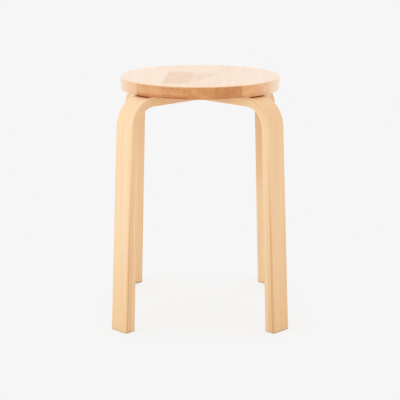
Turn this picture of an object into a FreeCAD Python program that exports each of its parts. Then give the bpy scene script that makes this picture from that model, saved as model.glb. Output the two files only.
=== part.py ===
import FreeCAD, Part
import math
import os

import Sketcher

# Stacking stool: a round seat glued up from wooden staves, on four bent laminated legs.
# Millimetres and degrees, +Z up, front towards -Y.
# The origin is on the floor, under the middle of the seat.

driving_sizes = {
    # whole stool
    "stool_height": 450,
    # seat: a disc cut from a blank of equal staves that are glued edge to edge
    "seat_diameter": 295,
    "seat_thickness": 24,
    "seat_top_round": 3,
    "seat_bottom_round": 2,
    "blank_spare": 17,          # the blank is this much wider than the disc, on either side
    "blank_shift": 10,          # the blank's middle line, to the right of the disc's middle
    "stave_angle": 3,           # the staves lean to the right towards the back
    # legs: three plies, bent from an arm under the seat into an upright
    "leg_angle": 45,            # the first leg's place round the stool
    "leg_width": 40,
    "outer_ply": 4,
    "middle_ply": 6,
    "inner_ply": 8,
    "bend_radius": 55,          # outer face of the bend
    "foot_overhang": 62.5,      # the seat's rim to the leg's outer face, on the floor
    "foot_depth": 22,           # outer to inner face on the floor, where the leg is thickest
    "splay_angle": 3,
    "arm_gap": 1,               # room at the corners where two neighbouring arms meet
    "leg_edge_round": 2,
    # two countersunk screws in each arm
    "screw_inset": 35,          # from either end of the arm's straight part
    "screw_cover": 7,           # wood left above a pilot bore
    "screw_diameter": 6,
    "screw_clearance": 0.5,     # on the diameter, where the shank passes the arm
    "screw_head": 11,
    "screw_recess": 0.3,        # head below the arm's face
    "pilot_spare": 1,           # pilot bore past the screw's tip
    "socket_width": 4,          # across the flats of the hexagon
    "socket_depth": 3,
}
stave_count = 7
leg_names = ["back_right", "back_left", "front_left", "front_right"]
ply_names = ["outer_ply", "middle_ply", "inner_ply"]
screws_per_leg = 2
countersink_angle = 90
socket_sides = 6
match = 1e-4                    # two edges this near lie on one another

doc = FreeCAD.newDocument("stacking_stool")
sheet = doc.addObject("Spreadsheet::Sheet", "Sizes")
for row, (name, value) in enumerate(driving_sizes.items(), 1):
    sheet.set(f"A{row}", name)
    sheet.set(f"B{row}", str(value))
    sheet.setAlias(f"B{row}", name)
doc.recompute()

# Sizes that several sub-parts share, as formulas on the sheet.
seat_radius = "Sizes.seat_diameter / 2"
seat_underside = "(Sizes.stool_height - Sizes.seat_thickness)"
blank_edge = f"({seat_radius} + Sizes.blank_spare)"
stave_width = f"(2 * {blank_edge} / {stave_count})"
foot_reach = f"({seat_radius} + Sizes.foot_overhang)"
arm_thickness = "(" + " + ".join(f"Sizes.{name}" for name in ply_names) + ")"
arm_underside = f"({seat_underside} - {arm_thickness})"
arm_end = "(Sizes.leg_width / 2 + Sizes.arm_gap)"
bend_height = f"({seat_underside} - Sizes.bend_radius)"
bend_reach = (f"({foot_reach} - tan(Sizes.splay_angle) * {bend_height}"
              " - Sizes.bend_radius / cos(Sizes.splay_angle))")
screw_base = f"({arm_underside} + Sizes.screw_recess)"
screw_hole = "(Sizes.screw_diameter + Sizes.screw_clearance)"
pilot_depth = "(Sizes.seat_thickness - Sizes.screw_cover)"


def leg_azimuth(leg):
    """The direction in which a leg stands, one quarter turn apart."""
    return f"(Sizes.leg_angle + {leg} * 360 / {len(leg_names)})"


def screw_reach(place):
    """The stool's axis to a screw: they are evenly spaced along the arm's straight part."""
    first = f"({arm_end} + Sizes.screw_inset)"
    last = f"({bend_reach} - Sizes.screw_inset)"
    return f"({first} + {place} * ({last} - {first}) / {screws_per_leg - 1})"


def bind(thing, formulas):
    for path, formula in formulas.items():
        thing.setExpression(path, formula)


def plane_of(body, role):
    return next(feature for feature in body.Origin.OriginFeatures if feature.Role == role)


def sketch_on(body, name, role):
    sketch = body.newObject("Sketcher::SketchObject", name)
    sketch.AttachmentSupport = [(plane_of(body, role), "")]
    sketch.MapMode = "FlatFace"
    return sketch


def measure(sketch, name, kind, *place, value, formula):
    """Add a sized constraint to a sketch and bind it to the sheet."""
    number = sketch.addConstraint(Sketcher.Constraint(kind, *place, value))
    sketch.renameConstraint(number, name)
    sketch.setExpression(f"Constraints.{name}", formula)


# The seat's disc, with rounded rims, which the staves share.

def rim_of(disc, choose):
    """The highest or lowest round edge of a disc."""
    rounds = [(edge.CenterOfMass.z, f"Edge{number}")
              for number, edge in enumerate(disc.Shape.Edges, 1) if edge.isClosed()]
    return choose(rounds)[1]


def make_seat_disc():
    body = doc.addObject("PartDesign::Body", "seat_disc")
    outline = sketch_on(body, "seat_outline", "XY_Plane")
    radius = sheet.seat_diameter / 2
    outline.addGeometry(Part.Circle(FreeCAD.Vector(0, 0, 0), FreeCAD.Vector(0, 0, 1), radius))
    outline.addConstraint(Sketcher.Constraint("Coincident", 0, 3, -1, 1))
    measure(outline, "rim", "Radius", 0, value=radius, formula=seat_radius)
    disc = body.newObject("PartDesign::Pad", "seat_plate")
    disc.Profile = outline
    disc.setExpression("Length", "Sizes.seat_thickness")
    doc.recompute()
    top_round = body.newObject("PartDesign::Fillet", "seat_top_rim")
    top_round.Base = (disc, [rim_of(disc, max)])
    top_round.setExpression("Radius", "Sizes.seat_top_round")
    doc.recompute()
    bottom_round = body.newObject("PartDesign::Fillet", "seat_bottom_rim")
    bottom_round.Base = (top_round, [rim_of(top_round, min)])
    bottom_round.setExpression("Radius", "Sizes.seat_bottom_round")
    body.setExpression("Placement.Base.z", seat_underside)
    doc.recompute()
    return body


# Pilot bores: one below each screw's thread, cut from whatever stave is there.

def make_pilot_bores():
    bores = []
    for leg, leg_name in enumerate(leg_names):
        for place in range(screws_per_leg):
            bore = doc.addObject("Part::Cylinder", f"pilot_{leg_name}_{place + 1}")
            bind(bore, {
                "Radius": "Sizes.screw_diameter / 2",
                "Height": pilot_depth,
                "Placement.Base.x": f"{screw_reach(place)} * cos({leg_azimuth(leg)})",
                "Placement.Base.y": f"{screw_reach(place)} * sin({leg_azimuth(leg)})",
                "Placement.Base.z": seat_underside,
            })
            bores.append(bore)
    pilots = doc.addObject("Part::Compound", "pilot_bores")
    pilots.Links = bores
    return pilots


# A stave: the part of the disc that lies within one board of the blank.

def make_stave(number, disc, pilots):
    across = f"(Sizes.blank_shift - {blank_edge} + {number - 1} * {stave_width})"
    board = doc.addObject("Part::Box", f"board_{number}")
    bind(board, {
        "Length": stave_width,
        "Width": f"2 * {blank_edge}",
        "Height": "Sizes.seat_thickness",
        "Placement.Rotation.Angle": "-Sizes.stave_angle",
        "Placement.Base.x": f"{across} * cos(Sizes.stave_angle) - {blank_edge} * sin(Sizes.stave_angle)",
        "Placement.Base.y": f"-{across} * sin(Sizes.stave_angle) - {blank_edge} * cos(Sizes.stave_angle)",
        "Placement.Base.z": seat_underside,
    })
    strip = doc.addObject("Part::MultiCommon", f"strip_{number}")
    strip.Shapes = [disc, board]
    stave = doc.addObject("Part::Cut", f"stave_{number}")
    stave.Base = strip
    stave.Tool = pilots
    stave.Label = f"seat_stave_{number}"
    return stave


def make_staves():
    disc = make_seat_disc()
    pilots = make_pilot_bores()
    return [make_stave(number, disc, pilots) for number in range(1, stave_count + 1)]


# A ply: a bent strip between two depths below the leg's outer face.
# Its sketch lies in the leg's upright plane: x outwards from the stool's axis, y up.

def depth_of(plies):
    """The depth below the leg's outer face that these plies take up."""
    return "(0" + "".join(f" + Sizes.{name}" for name in plies) + ")"


def draw_ply(body, number):
    outer = sum(getattr(sheet, name) for name in ply_names[:number])
    inner = sum(getattr(sheet, name) for name in ply_names[:number + 1])
    outer_depth = depth_of(ply_names[:number])
    inner_depth = depth_of(ply_names[:number + 1])
    # the innermost ply is tapered: it takes what the others leave of the foot
    tapered = number == len(ply_names) - 1
    foot_depth = "Sizes.foot_depth" if tapered else f"{inner_depth} / cos(Sizes.splay_angle)"

    # corners near enough for the solver to start from
    lean = math.radians(sheet.splay_angle)
    bend = sheet.bend_radius
    end = sheet.leg_width / 2 + sheet.arm_gap
    reach = sheet.seat_diameter / 2 + sheet.foot_overhang
    middle_height = sheet.stool_height - sheet.seat_thickness - bend
    middle_reach = reach - math.tan(lean) * middle_height - bend / math.cos(lean)
    middle = FreeCAD.Vector(middle_reach, middle_height, 0)
    outwards = FreeCAD.Vector(math.cos(lean), math.sin(lean), 0)
    up = FreeCAD.Vector(0, 1, 0)
    foot_outer = FreeCAD.Vector(reach - outer / math.cos(lean), 0, 0)
    foot_inner = FreeCAD.Vector(reach - inner / math.cos(lean), 0, 0)
    side_outer = middle + outwards * (bend - outer)
    side_inner = middle + outwards * (bend - inner)
    top_outer = middle + up * (bend - outer)
    top_inner = middle + up * (bend - inner)
    end_outer = FreeCAD.Vector(end, top_outer.y, 0)
    end_inner = FreeCAD.Vector(end, top_inner.y, 0)

    sketch = sketch_on(body, f"{body.Name}_side", "XZ_Plane")
    arm_face, outer_bend, leg_face, foot, inner_face, inner_bend, arm_under, arm_cut = range(8)
    out_of_sketch = FreeCAD.Vector(0, 0, 1)
    sketch.addGeometry([
        Part.LineSegment(end_outer, top_outer),
        Part.ArcOfCircle(Part.Circle(middle, out_of_sketch, bend - outer), lean, math.pi / 2),
        Part.LineSegment(side_outer, foot_outer),
        Part.LineSegment(foot_outer, foot_inner),
        Part.LineSegment(foot_inner, side_inner),
        Part.ArcOfCircle(Part.Circle(middle, out_of_sketch, bend - inner), lean, math.pi / 2),
        Part.LineSegment(top_inner, end_inner),
        Part.LineSegment(end_inner, end_outer),
    ])
    sketch.addConstraint([
        Sketcher.Constraint("Tangent", arm_face, 2, outer_bend, 2),
        Sketcher.Constraint("Tangent", outer_bend, 1, leg_face, 1),
        Sketcher.Constraint("Coincident", leg_face, 2, foot, 1),
        Sketcher.Constraint("Coincident", foot, 2, inner_face, 1),
        Sketcher.Constraint("Tangent", inner_face, 2, inner_bend, 1),
        Sketcher.Constraint("Tangent", inner_bend, 2, arm_under, 1),
        Sketcher.Constraint("Coincident", arm_under, 2, arm_cut, 1),
        Sketcher.Constraint("Coincident", arm_cut, 2, arm_face, 1),
        Sketcher.Constraint("Coincident", inner_bend, 3, outer_bend, 3),
        Sketcher.Constraint("Horizontal", arm_face),
        Sketcher.Constraint("Horizontal", foot),
        Sketcher.Constraint("Horizontal", arm_under),
        Sketcher.Constraint("Vertical", arm_cut),
        Sketcher.Constraint("PointOnObject", leg_face, 2, -1),
    ])
    measure(sketch, "arm_end", "DistanceX", -1, 1, arm_face, 1, value=end, formula=arm_end)
    measure(sketch, "arm_height", "DistanceY", -1, 1, arm_face, 1,
            value=end_outer.y, formula=f"{seat_underside} - {outer_depth}")
    measure(sketch, "outer_radius", "Radius", outer_bend,
            value=bend - outer, formula=f"Sizes.bend_radius - {outer_depth}")
    measure(sketch, "inner_radius", "Radius", inner_bend,
            value=bend - inner, formula=f"Sizes.bend_radius - {inner_depth}")
    measure(sketch, "lean", "Angle", leg_face,
            value=lean - math.pi / 2, formula="Sizes.splay_angle - 90")
    measure(sketch, "foot_outside", "DistanceX", -1, 1, leg_face, 2, value=foot_outer.x,
            formula=f"{foot_reach} - {outer_depth} / cos(Sizes.splay_angle)")
    measure(sketch, "foot_inside", "DistanceX", -1, 1, inner_face, 1, value=foot_inner.x,
            formula=f"{foot_reach} - {foot_depth}")
    doc.recompute()
    faces = {
        "outer": (arm_face, outer_bend, leg_face),
        "inner": (inner_face, inner_bend, arm_under),
    }
    return sketch, faces


def edges_along(strip, sketch, lines):
    """The strip's edges that run along some of its sketch's lines, on both of its sides."""
    drawn = [sketch.Geometry[line].toShape() for line in lines]
    side = sheet.leg_width / 2
    names = []
    for number, edge in enumerate(strip.Shape.Edges, 1):
        middle = edge.valueAt((edge.FirstParameter + edge.LastParameter) / 2)
        spot = Part.Vertex(middle.x, middle.z, 0)
        on_side = abs(abs(middle.y) - side) < match
        if on_side and min(line.distToShape(spot)[0] for line in drawn) < match:
            names.append(f"Edge{number}")
    return names


def bore_ply(body, countersunk):
    """Bore a ply upwards for its screws, from the arm's underside."""
    before = body.Shape.Volume
    places = sketch_on(body, f"{body.Name}_screws", "XY_Plane")
    places.setExpression("AttachmentOffset.Base.z", arm_underside)
    end = sheet.leg_width / 2 + sheet.arm_gap
    for place in range(screws_per_leg):
        # near enough for the solver to start from
        guess = end + (place + 1) * sheet.screw_inset
        at = FreeCAD.Vector(guess, 0, 0)
        places.addGeometry(Part.Circle(at, FreeCAD.Vector(0, 0, 1), sheet.screw_diameter / 2))
        places.addConstraint(Sketcher.Constraint("PointOnObject", place, 3, -1))
        measure(places, f"reach_{place + 1}", "DistanceX", -1, 1, place, 3,
                value=guess, formula=screw_reach(place))
        measure(places, f"size_{place + 1}", "Diameter", place,
                value=sheet.screw_diameter, formula=screw_hole)
    doc.recompute()
    bores = body.newObject("PartDesign::Hole", f"{body.Name}_bores")
    bores.Profile = places
    bores.Reversed = True
    bores.DepthType = "ThroughAll"
    bores.setExpression("Diameter", screw_hole)
    if countersunk:
        bores.HoleCutType = "Countersink"
        bores.HoleCutCustomValues = True
        bores.HoleCutCountersinkAngle = countersink_angle
        bores.setExpression("HoleCutDiameter", "Sizes.screw_head + 2 * Sizes.screw_recess")
    doc.recompute()
    if body.Shape.Volume >= before - match:
        raise RuntimeError(f"{body.Label}: the screw bores cut nothing")


def make_ply(leg, number):
    name = f"{leg_names[leg]}_leg_{ply_names[number]}"
    body = doc.addObject("PartDesign::Body", name)
    sketch, faces = draw_ply(body, number)
    strip = body.newObject("PartDesign::Pad", f"{name}_strip")
    strip.Profile = sketch
    strip.SideType = "Symmetric"
    strip.setExpression("Length", "Sizes.leg_width")
    doc.recompute()
    outermost = number == 0
    innermost = number == len(ply_names) - 1
    if outermost or innermost:
        eased = body.newObject("PartDesign::Fillet", f"{name}_eased")
        eased.Base = (strip, edges_along(strip, sketch, faces["outer" if outermost else "inner"]))
        eased.setExpression("Radius", "Sizes.leg_edge_round")
        doc.recompute()
    bore_ply(body, countersunk=innermost)
    body.setExpression("Placement.Rotation.Angle", leg_azimuth(leg))
    return body


# A screw: countersunk head downwards with a hexagon socket, and a plain shank up into the stave.

def make_screw(leg, place):
    name = f"{leg_names[leg]}_screw_{place + 1}"
    head = doc.addObject("Part::Cone", f"{name}_head")
    bind(head, {
        "Radius1": "Sizes.screw_head / 2",
        "Radius2": "Sizes.screw_diameter / 2",
        "Height": f"(Sizes.screw_head - Sizes.screw_diameter) / 2 / tan({countersink_angle} / 2)",
    })
    shank = doc.addObject("Part::Cylinder", f"{name}_shank")
    bind(shank, {
        "Radius": "Sizes.screw_diameter / 2",
        "Height": f"{seat_underside} + {pilot_depth} - Sizes.pilot_spare - {screw_base}",
    })
    socket = doc.addObject("Part::Prism", f"{name}_socket")
    socket.Polygon = socket_sides
    bind(socket, {
        "Circumradius": f"Sizes.socket_width / 2 / cos(180 / {socket_sides})",
        "Height": "Sizes.socket_depth",
    })
    blank = doc.addObject("Part::MultiFuse", f"{name}_blank")
    blank.Shapes = [head, shank]
    screw = doc.addObject("Part::Cut", name)
    screw.Base = blank
    screw.Tool = socket
    bind(screw, {
        "Placement.Base.x": f"{screw_reach(place)} * cos({leg_azimuth(leg)})",
        "Placement.Base.y": f"{screw_reach(place)} * sin({leg_azimuth(leg)})",
        "Placement.Base.z": screw_base,
        "Placement.Rotation.Angle": leg_azimuth(leg),
    })
    return screw


def make_screws():
    screws = doc.addObject("Part::Compound", "screws")
    screws.Links = [make_screw(leg, place)
                    for leg in range(len(leg_names)) for place in range(screws_per_leg)]
    screws.Label = "leg_screws"
    return screws


def check(parts):
    doc.recompute()
    for thing in doc.Objects:
        if "Invalid" in thing.State or "Error" in thing.State:
            raise RuntimeError(f"{thing.Label} failed: {thing.State}")
    for part in parts:
        if part.Shape.isNull() or not part.Shape.isValid():
            raise RuntimeError(f"{part.Label} has no valid shape")


parts = make_staves()
for leg in range(len(leg_names)):
    for number in range(len(ply_names)):
        parts.append(make_ply(leg, number))
parts.append(make_screws())
check(parts)

os.makedirs("parts", exist_ok=True)
for part in parts:
    part.Shape.exportStep(f"parts/{part.Label}.step")
    print(part.Label, len(part.Shape.Solids), round(part.Shape.Volume))
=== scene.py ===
import math

import bmesh
import bpy
import numpy as np
from mathutils import Matrix, Vector


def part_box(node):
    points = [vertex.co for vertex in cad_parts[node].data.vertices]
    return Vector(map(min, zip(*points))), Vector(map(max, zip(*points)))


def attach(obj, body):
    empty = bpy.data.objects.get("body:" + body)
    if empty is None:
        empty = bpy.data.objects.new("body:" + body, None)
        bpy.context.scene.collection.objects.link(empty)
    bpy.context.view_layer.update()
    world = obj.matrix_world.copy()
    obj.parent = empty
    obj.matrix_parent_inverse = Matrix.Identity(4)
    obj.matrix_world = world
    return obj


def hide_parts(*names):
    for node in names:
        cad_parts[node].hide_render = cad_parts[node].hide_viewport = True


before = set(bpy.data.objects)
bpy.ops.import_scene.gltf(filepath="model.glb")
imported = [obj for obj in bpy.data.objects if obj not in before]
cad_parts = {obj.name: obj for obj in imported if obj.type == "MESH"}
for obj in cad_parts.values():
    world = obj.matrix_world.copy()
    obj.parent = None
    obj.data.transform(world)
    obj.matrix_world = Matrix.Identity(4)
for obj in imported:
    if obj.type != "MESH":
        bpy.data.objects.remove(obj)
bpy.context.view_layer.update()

# Stacking stool: a round birch seat glued up from staves, on four bent and laminated legs.
# Metres, +Z up, front towards -Y, origin on the floor under the middle of the seat.

mm = 0.001

staveBoxes = [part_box(node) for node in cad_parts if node.startswith("seat_stave")]
seatLow = min(low.z for low, high in staveBoxes)
seatHigh = max(high.z for low, high in staveBoxes)
seatDiameter = 2 * max(high.x for low, high in staveBoxes)

shading = {
    "sharpFrom": math.radians(25),  # an edge that turns more than this stays crisp
    "flatWithin": math.radians(0.3),  # faces that turn less than this become one
    "flatWeight": 100,  # the most there is, so that large flat faces set the shading
    "weld": 0.005 * mm,
}
nodeGrid = {"across": 190, "down": 260, "perRow": 10}  # where the nodes stand in the editor


def fromHex(code):  # sRGB hex to the linear values that the shaders take
    parts = [int(code[place:place + 2], 16) / 255 for place in (1, 3, 5)]
    linear = [part / 12.92 if part <= 0.04045 else ((part + 0.055) / 1.055) ** 2.4 for part in parts]
    return (*linear, 1)


def addNode(tree, kind, settings=None, inputs=None):  # an input is a value, a node, a socket or a list
    node = tree.nodes.new(kind)
    row, column = divmod(len(tree.nodes), nodeGrid["perRow"])
    node.location = (nodeGrid["across"] * column, -nodeGrid["down"] * row)
    for name, value in (settings or {}).items():
        setattr(node, name, value)
    for place, given in (inputs or {}).items():
        for value in given if isinstance(given, list) else [given]:
            if isinstance(value, bpy.types.Node):
                value = next(socket for socket in value.outputs if socket.enabled)
            if isinstance(value, bpy.types.NodeSocket):
                tree.links.new(value, node.inputs[place])
            else:
                node.inputs[place].default_value = value
    return node


times = {"operation": "MULTIPLY"}
timesPlus = {"operation": "MULTIPLY_ADD"}
minus = {"operation": "SUBTRACT"}
over = {"operation": "DIVIDE"}
lengthOf = {"operation": "LENGTH"}
unsigned = {"operation": "ABSOLUTE"}
greater = {"operation": "GREATER_THAN"}
joined = {"operation": "UNION", "solver": "EXACT"}
cutAway = {"operation": "DIFFERENCE", "solver": "EXACT"}
common = {"operation": "INTERSECT", "solver": "EXACT"}
pickNumber = {"input_type": "FLOAT"}
smoothStep = {"interpolation_type": "SMOOTHSTEP"}
alongLine = {"noise_dimensions": "1D"}
mixColours = {"data_type": "RGBA"}
tintColours = {"data_type": "RGBA", "blend_type": "MULTIPLY"}


# Geometry Nodes: each tree is built here, fed through its named inputs, and turned into a plain mesh.

socketKinds = {float: "Float", int: "Int", tuple: "Vector", type(None): "Material"}


# Each size becomes an input of its value's kind, and starts at that value. A material comes later.
def startTree(name, sizes):
    tree = bpy.data.node_groups.new(name, "GeometryNodeTree")
    for title, value in sizes.items():
        kind = "NodeSocket" + socketKinds[type(value)]
        tree.interface.new_socket(name=title, in_out="INPUT", socket_type=kind).default_value = value
    tree.interface.new_socket(name="Geometry", in_out="OUTPUT", socket_type="NodeSocketGeometry")
    return tree, addNode(tree, "NodeGroupInput").outputs


def endTree(tree, geometry, material):
    whole = addNode(tree, "GeometryNodeRealizeInstances", inputs={"Geometry": geometry})
    smooth = addNode(tree, "GeometryNodeSetShadeSmooth", inputs={"Geometry": whole})
    painted = addNode(tree, "GeometryNodeSetMaterial", inputs={"Geometry": smooth, "Material": material})
    addNode(tree, "NodeGroupOutput", inputs={"Geometry": painted})
    return tree


def lift(tree, geometry, height):
    offset = addNode(tree, "ShaderNodeCombineXYZ", inputs={"Z": height})
    return addNode(tree, "GeometryNodeTransform", inputs={"Geometry": geometry, "Translation": offset})


def turnLevel(tree, angle):  # a turn about the upright axis
    turn = addNode(tree, "ShaderNodeCombineXYZ", inputs={"Z": angle})
    return addNode(tree, "FunctionNodeEulerToRotation", inputs={0: turn})


def startSection(tree, width, height, roundBelow, roundAbove):  # how round its corners are goes by y
    section = addNode(tree, "GeometryNodeCurvePrimitiveQuadrilateral", inputs={
        "Width": width, "Height": height})
    spot = addNode(tree, "GeometryNodeInputPosition")
    x, y, _ = addNode(tree, "ShaderNodeSeparateXYZ", inputs={0: spot}).outputs
    isAbove = addNode(tree, "FunctionNodeCompare", greater, {0: y, 1: 0})
    rounding = addNode(tree, "GeometryNodeSwitch", pickNumber, {
        "Switch": isAbove, "False": roundBelow, "True": roundAbove})
    return section, x, isAbove, rounding


def runTree(name, tree, values):  # values: the inputs that differ from what the tree starts at
    piece = bpy.data.objects.new(name, bpy.data.meshes.new(name))
    bpy.context.scene.collection.objects.link(piece)
    modifier = piece.modifiers.new(name, "NODES")
    modifier.node_group = tree
    for socket in tree.interface.items_tree:
        if socket.name in values:
            modifier[socket.identifier] = values[socket.name]
    graph = bpy.context.evaluated_depsgraph_get()
    made = bpy.data.meshes.new_from_object(
        piece.evaluated_get(graph), preserve_all_data_layers=True, depsgraph=graph)
    piece.modifiers.clear()
    piece.data = made
    made.name = name
    return piece


def tidyMesh(piece):
    work = bmesh.new()
    work.from_mesh(piece.data)
    bmesh.ops.remove_doubles(work, verts=work.verts, dist=shading["weld"])
    bmesh.ops.dissolve_limit(work, angle_limit=shading["flatWithin"], verts=work.verts, edges=work.edges)
    bmesh.ops.recalc_face_normals(work, faces=work.faces)
    work.to_mesh(piece.data)
    work.free()


def evenShading(piece):  # keeps flat faces flat beside their rounded edges
    piece.data.set_sharp_from_angle(angle=shading["sharpFrom"])
    weighted = piece.modifiers.new("evenShading", "WEIGHTED_NORMAL")
    weighted.keep_sharp = True
    weighted.weight = shading["flatWeight"]


def pointsOf(piece):
    points = np.zeros(len(piece.data.vertices) * 3)
    piece.data.vertices.foreach_get("co", points)
    return points.reshape(-1, 3)


def writeVectors(piece, name, *parts):  # each part is one number, or one for each vertex
    values = np.zeros((len(piece.data.vertices), 3), np.float32)
    for place, part in enumerate(parts):
        values[:, place] = part
    layer = piece.data.attributes.new(name, "FLOAT_VECTOR", "POINT")
    layer.data.foreach_set("vector", values.ravel())


def startMaterial(name):
    material = bpy.data.materials.new(name)
    material.use_nodes = True
    material.node_tree.nodes.clear()
    return material, material.node_tree


# Birch under a satin lacquer. The figure is drawn in each board's own space: x along the fibres, y and z
# outwards from the pith, so that faces show long figure and the cut ends show the rings as arcs. Fibres,
# vessels and glue lines are finer than a picture of a whole stool can show, so they are drawn coarser.

# Solid boards, planed and sanded: an even, pinkish top with a soft sheen. The rim's cut ends drink in more
# lacquer, which leaves them brown and duller with clear rings.
seatBirch = {
    "name": "solidBirchPlanedSatinLacquer",
    "pale": "#EFD5BD",
    "deep": "#DBB28A",
    "cutEnd": "#FBD79C",  # what a cut end drinks in: it multiplies the colour
    "cutEndDeep": "#C78F4C",
    "ringSpacing": 4.2 * mm,
    "ringOnEnd": 1.0,
    "fibres": 0.25,
    "streakWidth": 10 * mm,
    "streakLength": 420 * mm,
    "glue": "#9C6B3E",
    "glueWidth": 0.3 * mm,
    "glueAtFloor": 0.45,
    "glueAtSeat": 0.45,
    "arms": "#FFFFFF",  # no change: the arms' painted light under the seat isn't on the seat
    "armsPaler": 0.0,
    "undersideShade": "#DAA95F",  # painted shade at the rim's foot, just above the seat's underside
    "undersideShadeHeights": (10 * mm, 0.5 * mm),  # above the seat's underside
    "undersideShadeFacing": (0.95, 0.4),  # on upright faces
    "roughness": 0.4,
    "coat": 0.6,
}
# Sliced veneers, glued, bent in a press and sanded: yellower and plainer, with fine straight streaks, and
# with the plies' glue lines on the sides, clearest where the feet have been knocked and washed.
plyBirch = {
    "name": "bentBirchPlySandedSatinLacquer",
    "pale": "#EECB9E",
    "deep": "#D8A771",
    "cutEnd": "#E9C79C",
    "cutEndDeep": "#C49262",
    "ringSpacing": 3 * mm,
    "ringOnEnd": 0.5,
    "fibres": 0.2,
    "streakWidth": 8 * mm,
    "streakLength": 260 * mm,
    "glue": "#8F5E36",
    "glueWidth": 0.6 * mm,
    "glueAtFloor": 0.9,
    "glueAtSeat": 0.12,
    "arms": "#FFF9EA",  # painted light: the arms under the seat are made paler and a little yellower
    "armsPaler": 0.15,
    "undersideShade": "#CC8A3E",  # painted shade on the arms in the narrow gap under the seat
    "undersideShadeHeights": (-2.4 * mm, -1.2 * mm),
    "undersideShadeFacing": (0.6, 0.9),  # on level faces
    "roughness": 0.42,
    "coat": 1.0,
}
# The same in both. A pair of values says where a change begins and where it is complete.
grain = {
    "ringWobble": 5 * mm,
    "wobbleLength": 160 * mm,
    "wobbleAcross": 4,  # how many times shorter the wobbles are across the board
    "ringRise": (0.35, 0.9),  # the part of a year in which its wood darkens
    "ringStop": (1.0, 0.93),
    "ringYears": (0.3, 0.7),  # some years' rings show and others don't
    "ringYearsAlike": 0.31,
    "ringOnFace": 0.2,
    "streaks": 0.35,
    "streaksOnEnd": 0.3,
    "fibreWidth": 0.6 * mm,
    "fibreLength": 20 * mm,
    "vesselWidth": 0.4 * mm,
    "vesselLength": 5 * mm,
    "unevenness": 0.55,  # the noises' roughness
    "poresFrom": (0.62, 0.72),
    "poresDeeper": 0.18,
    "coreWoodAndShade": "#E6C293",
    "coreWoodAndShadeStart": (-0.06, 0.06),  # shares of the warm stretch's length, and of the board's width; the stretch is heartwood on the seat and painted shade on the legs
    "coreWoodAndShadeStop": (1.16, 0.84),
    "coreWoodAndShadeSide": (-0.05, 0.05),
    "coreWoodAndShadeRagged": (0.5, 0.3),  # along and across
    "cutFacing": (0.15, 0.9),  # how far a surface faces along the fibres where it looks cut across
    "lowFacing": (0.5, 0.1),  # how far it faces up, past the sanded edge round the top
    "uprightFacing": (0.95, 0.4),  # how far it faces up or down, from level to upright
    "edgeHeights": (0.42, 0.15),
    "edgeAtArms": -0.5,  # the outer plies' edges are paler there, as painted light on the bends' sides, and deeper at the feet
    "armsReach": (0.15, 0.12),  # from the stool's axis
    "glueHeights": (0, 0.4),
    "floorwardShade": "#F6EEDD",  # painted shade: the legs darker and warmer towards the feet
    "floorwardShadeHeights": (0.25, 0),
    # painted contact shadow on the feet, just above the floor
    "contactShadow": "#5E3F28",
    "contactShadowHeights": (2.6 * mm, 1.4 * mm),
    "ior": 1.5,
    "coatRoughness": 0.3,
    "unevenSheen": 0.15,
    "dullerEnds": 0.2,
    "raised": 0.3,  # how strongly fibres, pores and glue lines catch the light
    "grooveDepth": 0.06 * mm,
    "poresSunk": 0.8,
    "glueSunk": 1.5,
}


def fade(tree, amount, *steps):  # a step: a value, and where the amount begins and where it is whole
    for value, (low, high) in steps:
        step = addNode(tree, "ShaderNodeMapRange", smoothStep, {
            "Value": value, "From Min": low, "From Max": high})
        amount = addNode(tree, "ShaderNodeMath", times, {0: amount, 1: step})
    return amount


def drawGrain(tree, wood, place, ringShare):
    # growth rings: distance from the pith, wandering along the board, stronger in some years
    waves = 1 / grain["wobbleLength"]
    wavesAcross = waves * grain["wobbleAcross"]
    slow = addNode(tree, "ShaderNodeVectorMath", times, {0: place, 1: (waves, wavesAcross, wavesAcross)})
    drift = addNode(tree, "ShaderNodeTexNoise", inputs={
        "Vector": slow, "Scale": 1, "Detail": 2, "Roughness": grain["unevenness"]}).outputs["Color"]
    wander = addNode(tree, "ShaderNodeVectorMath", timesPlus, {
        0: drift, 1: (2 * grain["ringWobble"],) * 3, 2: place})
    section = addNode(tree, "ShaderNodeVectorMath", times, {0: wander, 1: (0, 1, 1)})
    radius = addNode(tree, "ShaderNodeVectorMath", lengthOf, {0: section})
    years = addNode(tree, "ShaderNodeMath", over, {0: radius, 1: wood["ringSpacing"]})
    season = addNode(tree, "ShaderNodeMath", {"operation": "FRACT"}, {0: years})
    bundles = addNode(tree, "ShaderNodeTexNoise", alongLine, {
        "W": years, "Scale": grain["ringYearsAlike"], "Detail": 2})
    ring = fade(tree, ringShare, (season, grain["ringRise"]), (season, grain["ringStop"]),
                (bundles, grain["ringYears"]))

    # streaks, fibres and vessels, each a noise stretched along the board
    stretched = []
    for length, width, detail in (
            (wood["streakLength"], wood["streakWidth"], 3),
            (grain["fibreLength"], grain["fibreWidth"], 2),
            (grain["vesselLength"], grain["vesselWidth"], 0)):
        near = addNode(tree, "ShaderNodeVectorMath", times, {
            0: place, 1: (1 / length, 1 / width, 1 / width)})
        stretched.append(addNode(tree, "ShaderNodeTexNoise", inputs={
            "Vector": near, "Scale": 1, "Detail": detail, "Roughness": grain["unevenness"]}).outputs["Fac"])
    return ring, *stretched


def drawCoreWoodAndShade(tree, mark, streak):  # a warmer stretch of a board, ragged where it ends: heartwood on the seat's boards, painted shade at the legs' tops under the seat
    run, inside, coreWoodAndShade = addNode(tree, "ShaderNodeSeparateXYZ", inputs={0: mark}).outputs
    ragged = addNode(tree, "ShaderNodeMath", minus, {0: streak, 1: 0.5})
    along, across = [
        addNode(tree, "ShaderNodeMath", timesPlus, {0: ragged, 1: share, 2: value})
        for share, value in zip(grain["coreWoodAndShadeRagged"], (run, inside))]
    return fade(tree, coreWoodAndShade, (along, grain["coreWoodAndShadeStart"]), (along, grain["coreWoodAndShadeStop"]),
                (across, grain["coreWoodAndShadeSide"]))


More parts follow.
